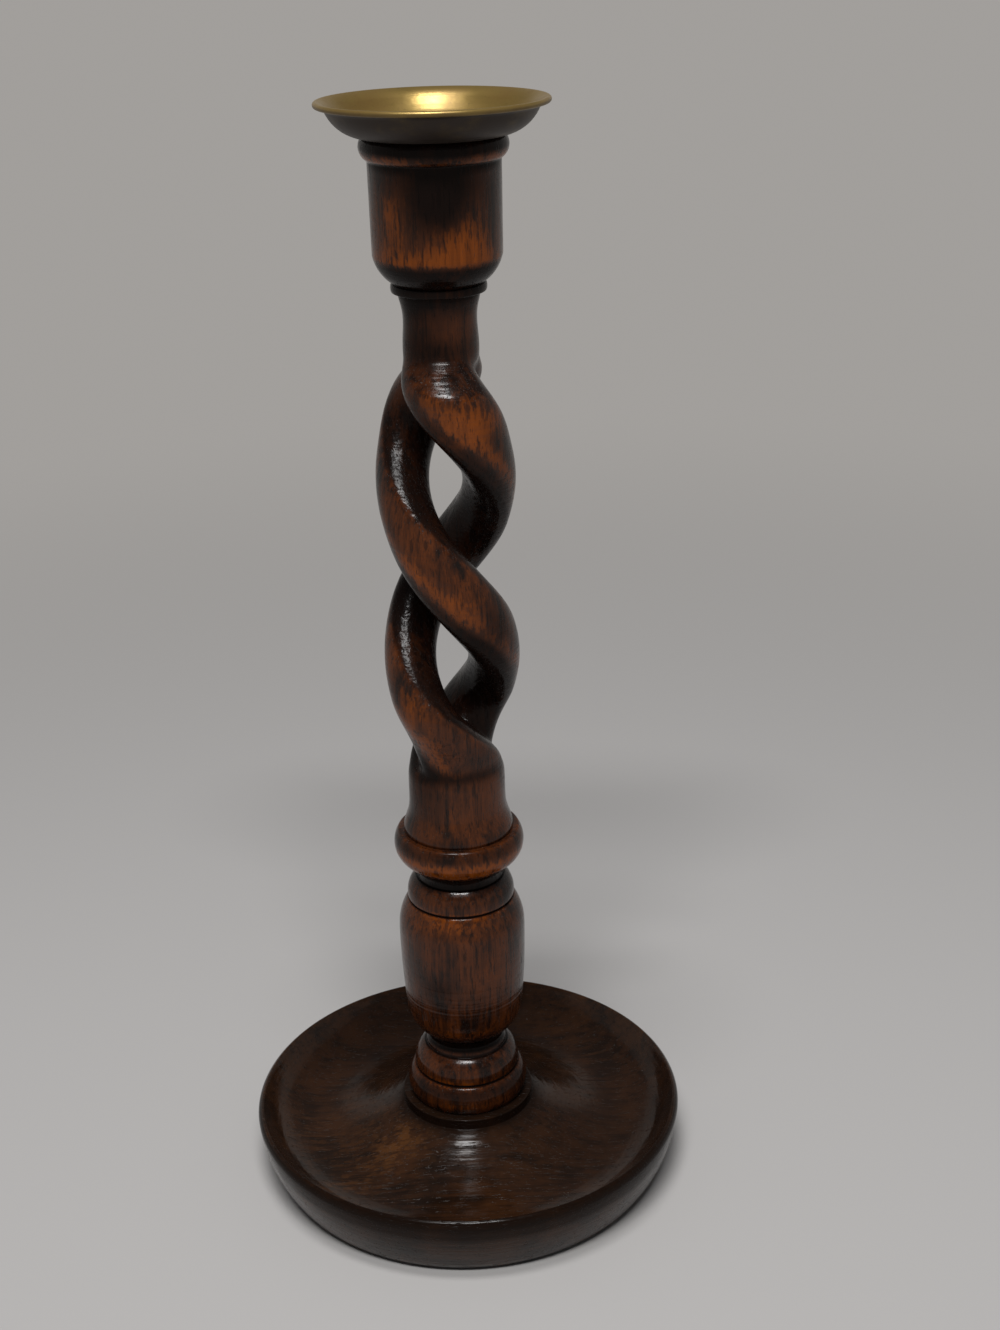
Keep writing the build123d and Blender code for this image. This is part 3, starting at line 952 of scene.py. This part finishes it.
def baize(name):
    """Dark green felted cloth: short crossed fibres and a soft sheen."""
    material, tree, shader = new_material(name)
    across = noise(tree, (2.4, 0.25, 0.5), detail=3.0, roughness=0.65)
    along = noise(tree, (0.25, 2.4, 0.5), detail=3.0, roughness=0.65)
    nap = mathed(tree, "MAXIMUM", across, along)
    clouds = noise(tree, (9.0, 9.0, 9.0), detail=3.0)
    # Nap colours: painted shade deep among the fibres, and lighter raised fibres
    deep = colour(0.010, 0.040, 0.020)
    raised = colour(0.040, 0.115, 0.058)
    faded = colour(0.030, 0.075, 0.030)
    green = mixed(tree, between(tree, nap, 0.4, 0.75), deep, raised)
    green = mixed(tree, between(tree, clouds, 0.4, 0.8, 0.0, 0.4), green, faded)
    tree.links.new(green, shader.inputs["Base Color"])
    shader.inputs["Roughness"].default_value = 0.95
    shader.inputs["Sheen Weight"].default_value = 0.5
    shader.inputs["Sheen Roughness"].default_value = 0.5
    tree.links.new(bumped(tree, nap, 0.25), shader.inputs["Normal"])
    return material


def finish_piece(piece, material, body, node_name):
    """Dresses a piece and lets it stand for its CAD node."""
    piece.data.materials.clear()
    piece.data.materials.append(material)
    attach(piece, body)
    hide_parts(node_name)


# Colours of the oak and brass
OAK_DARK = colour(0.0075, 0.0038, 0.0028)
OAK_BROWN = colour(0.092, 0.0240, 0.0058)
OAK_BARE = colour(0.26, 0.060, 0.0045)
DISH_DARK = colour(0.0095, 0.0048, 0.0030)
DISH_BROWN = colour(0.035, 0.0135, 0.0055)
DISH_BARE = colour(0.12, 0.045, 0.012)
BRASS_BRIGHT = colour(0.32, 0.215, 0.063)
BRASS_TARNISH = colour(0.22, 0.138, 0.040)
BRASS_DULL = colour(0.036, 0.026, 0.020)

oak_stem = oak(
    "oak_stem", OAK_DARK, OAK_BROWN, OAK_BARE,
    grain=(0, 0, 1), figure=0.85, polish=0.12, shine=0.26,
)
oak_base = oak(
    "oak_base", DISH_DARK, DISH_BROWN, DISH_BARE,
    grain=(1, 0, 0), figure=0.45, polish=0.10, shine=0.24,
)
brass_pan = brass("brass_pan", BRASS_BRIGHT, BRASS_TARNISH, BRASS_DULL)
brass_nozzle = brass("brass_nozzle", BRASS_BRIGHT, BRASS_TARNISH, BRASS_DULL)

# The stem
stem, stem_outlines = build_stem()
stem_places = coordinates(stem.data)
stem_turn = np.zeros(len(stem_places))
for points in stem_outlines:
    stem_turn += nearest_turn(stem_places, points)
crown_wear, carved_stain_and_shade = strand_marks(stem_places)
stem_wear = np.maximum(crown_wear, np.clip(stem_turn / WEAR_TURN, 0, 1))
# Stain and painted shade: in the hollows, on the carved faces, along the strands' lower edges and at the
# dark places
stem_stain_and_shade = np.maximum(carved_stain_and_shade, np.clip(-stem_turn / HOLLOW_SHADE_TURN, 0, 1))
stem_wear += marked(stem_places, STEM_RUBS)
stem_stain_and_shade += marked(stem_places, STEM_STAIN_AND_SHADE)
paint(stem, "rasped", in_twist(stem_places))
paint_oak(stem, stem_wear, stem_stain_and_shade)
finish_piece(stem, oak_stem, "stand", "twist_stem")

# The base
dish_points = soften(dish_outline(), DISH_EDGE_WEAR, closed=True)
dish = lathe("base_dish_turned", thin_out(dish_points), closed=True)
dish_places = coordinates(dish.data)
dish_turn = nearest_turn(dish_places, dish_points)
wall = np.hypot(dish_places[:, 0], dish_places[:, 1]) > DISH_WALL_RADIUS - DISH_RIM[0] / 2
# Wear on the edges and at the rubbed places, with a painted reflection on the left of the hollow
dish_wear_and_reflection = DISH_WEAR * np.clip(dish_turn / WEAR_TURN, 0, 1)
dish_wear_and_reflection += marked(dish_places, DISH_WEAR_AND_REFLECTION)
# Stain with painted shade on the wall, in the hollows and at the dark places
dish_stain_and_shade = WALL_STAIN_AND_SHADE * wall + np.clip(-dish_turn / HOLLOW_SHADE_TURN, 0, 1)
dish_stain_and_shade += marked(dish_places, DISH_STAIN_AND_SHADE)
paint_oak(dish, dish_wear_and_reflection, dish_stain_and_shade)
finish_piece(dish, oak_base, "stand", "base_dish")

# The pan, tarnished dark below and outside
pan_points = soften(pan_outline(), BRASS_EDGE, closed=True)
pan = lathe("drip_pan_spun", thin_out(pan_points), closed=True)
pan_places = coordinates(pan.data)
pan_normals = directions(pan.data)
pan_radius = np.hypot(pan_places[:, 0], pan_places[:, 1])
outward = (pan_normals[:, :2] * pan_places[:, :2]).sum(axis=1) / pan_radius
patina = PATINA_LEVEL + PATINA_OUTSIDE * outward - PATINA_BELOW * pan_normals[:, 2]
on_lip = ease((pan_radius - PAN_LIP[0] + PAN_ROLL_RADIUS / 2) / PAN_ROLL_RADIUS)
paint(pan, "patina", (1 - LIP_RUB * on_lip) * np.clip(patina, 0, 1))
finish_piece(pan, brass_pan, "pan", "drip_pan")

# The nozzle
nozzle = lathe("candle_nozzle_drawn", thin_out(soften(nozzle_outline(), BRASS_EDGE)))
paint(nozzle, "patina", np.zeros(len(nozzle.data.vertices)))
finish_piece(nozzle, brass_nozzle, "nozzle", "candle_nozzle")

# The fabric disc under the base
pad = lathe("baize_disc", thin_out(soften(pad_outline(), DISH_EDGE_WEAR)))
finish_piece(pad, baize("baize"), "stand", "baize_pad")

# The screw keeps its CAD shape
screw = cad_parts["base_screw"]
screw.data.materials.clear()
screw.data.materials.append(steel("steel"))


# Stage, in metres: a pale floor that turns into an even background away from the object, with walls round it
FLOOR_COLOUR = colour(0.50, 0.485, 0.475)
BACKGROUND_COLOUR = colour(0.36, 0.345, 0.33)
BACKGROUND_START = 0.15
BACKGROUND_END = 0.85
STAGE_HALF = 7.5
STAGE_HEIGHT = 4.0
SKY_COLOUR = colour(0.95, 0.97, 1.0)
SKY_STRENGTH = 0.13

# Lamps as (name, place, width, depth, power), all turned to one point
LAMPS = [
    ("main", (-0.06, -0.72, 1.28), 0.70, 0.14, 12.5),
    ("overhead", (-0.06, -0.30, 1.5), 0.45, 0.25, 7.0),
]
LAMP_TARGET = Vector((0, 0, 0.15))


def pale_floor():
    """The floor's material: plain and dull, and the background's own light beyond the lit area."""
    material, tree, shader = new_material("pale_floor")
    shader.inputs["Base Color"].default_value = FLOOR_COLOUR
    shader.inputs["Roughness"].default_value = 0.9
    place = node(tree, "ShaderNodeTexCoord").outputs["Object"]
    distance = node(tree, "ShaderNodeVectorMath", {0: place}, operation="LENGTH").outputs["Value"]
    rays = node(tree, "ShaderNodeLightPath").outputs
    seen = mathed(tree, "MAXIMUM", rays["Is Camera Ray"], rays["Is Glossy Ray"])
    seen = mathed(tree, "MAXIMUM", seen, rays["Is Transmission Ray"])
    far = mathed(tree, "MULTIPLY", seen, between(tree, distance, BACKGROUND_START, BACKGROUND_END))
    glow = node(tree, "ShaderNodeEmission", {"Color": BACKGROUND_COLOUR}).outputs[0]
    both = node(tree, "ShaderNodeMixShader", {0: far, 1: shader.outputs[0], 2: glow}).outputs[0]
    output = next(item for item in tree.nodes if item.type == "OUTPUT_MATERIAL")
    tree.links.new(both, output.inputs["Surface"])
    return material


def build_stage():
    """The floor and its walls, a wide lamp in front, a weaker one overhead and a dim sky."""
    scene = bpy.context.scene
    corners = [(-1, -1), (1, -1), (1, 1), (-1, 1)]
    vertices = [
        (x * STAGE_HALF, y * STAGE_HALF, height)
        for height in (0, STAGE_HEIGHT)
        for x, y in corners
    ]
    walls = [(side, side + 4, (side + 1) % 4 + 4, (side + 1) % 4) for side in range(4)]
    mesh = bpy.data.meshes.new("floor_and_backdrop")
    mesh.from_pydata(vertices, [], [(0, 1, 2, 3)] + walls)
    floor = bpy.data.objects.new("floor_and_backdrop", mesh)
    scene.collection.objects.link(floor)
    floor.data.materials.append(pale_floor())

    world = bpy.data.worlds.new("studio")
    scene.world = world
    world.use_nodes = True
    background = next(item for item in world.node_tree.nodes if item.type == "BACKGROUND")
    background.inputs["Color"].default_value = SKY_COLOUR
    background.inputs["Strength"].default_value = SKY_STRENGTH

    for name, place, width, depth, power in LAMPS:
        light = bpy.data.lights.new(name, "AREA")
        light.shape = "ELLIPSE"
        light.size = width
        light.size_y = depth
        light.energy = power
        lamp = bpy.data.objects.new(name, light)
        lamp.location = place
        lamp.rotation_euler = (LAMP_TARGET - lamp.location).to_track_quat("-Z", "Y").to_euler()
        scene.collection.objects.link(lamp)


# Camera of the photograph, from the tape and from the ellipses of the base and the cup
IMAGE_LONG_SIDE = 1330
FOCAL_PIXELS = 1900
SENSOR = 36.0
CAMERA_PLACE = Vector((0, -0.4741, 0.3530))
PITCH = radians(22.548)
YAW = radians(1.544)
ROLL = radians(-1.511)


def build_camera():
    """The camera, at the photograph's place, direction and field of view."""
    forward = Vector((sin(YAW) * cos(PITCH), cos(YAW) * cos(PITCH), -sin(PITCH)))
    level_right = Vector((cos(YAW), -sin(YAW), 0))
    level_up = level_right.cross(forward)
    right = cos(ROLL) * level_right + sin(ROLL) * level_up
    up = cos(ROLL) * level_up - sin(ROLL) * level_right
    data = bpy.data.cameras.new("camera")
    data.sensor_width = SENSOR
    data.lens = SENSOR * FOCAL_PIXELS / IMAGE_LONG_SIDE
    data.clip_start = 0.01
    data.clip_end = 100.0
    camera = bpy.data.objects.new("camera", data)
    axes = Matrix((right, up, -forward)).transposed().to_4x4()
    camera.matrix_world = Matrix.Translation(CAMERA_PLACE) @ axes
    bpy.context.scene.collection.objects.link(camera)
    bpy.context.scene.camera = camera


build_stage()
build_camera()
bpy.context.scene.view_settings.view_transform = "Standard"
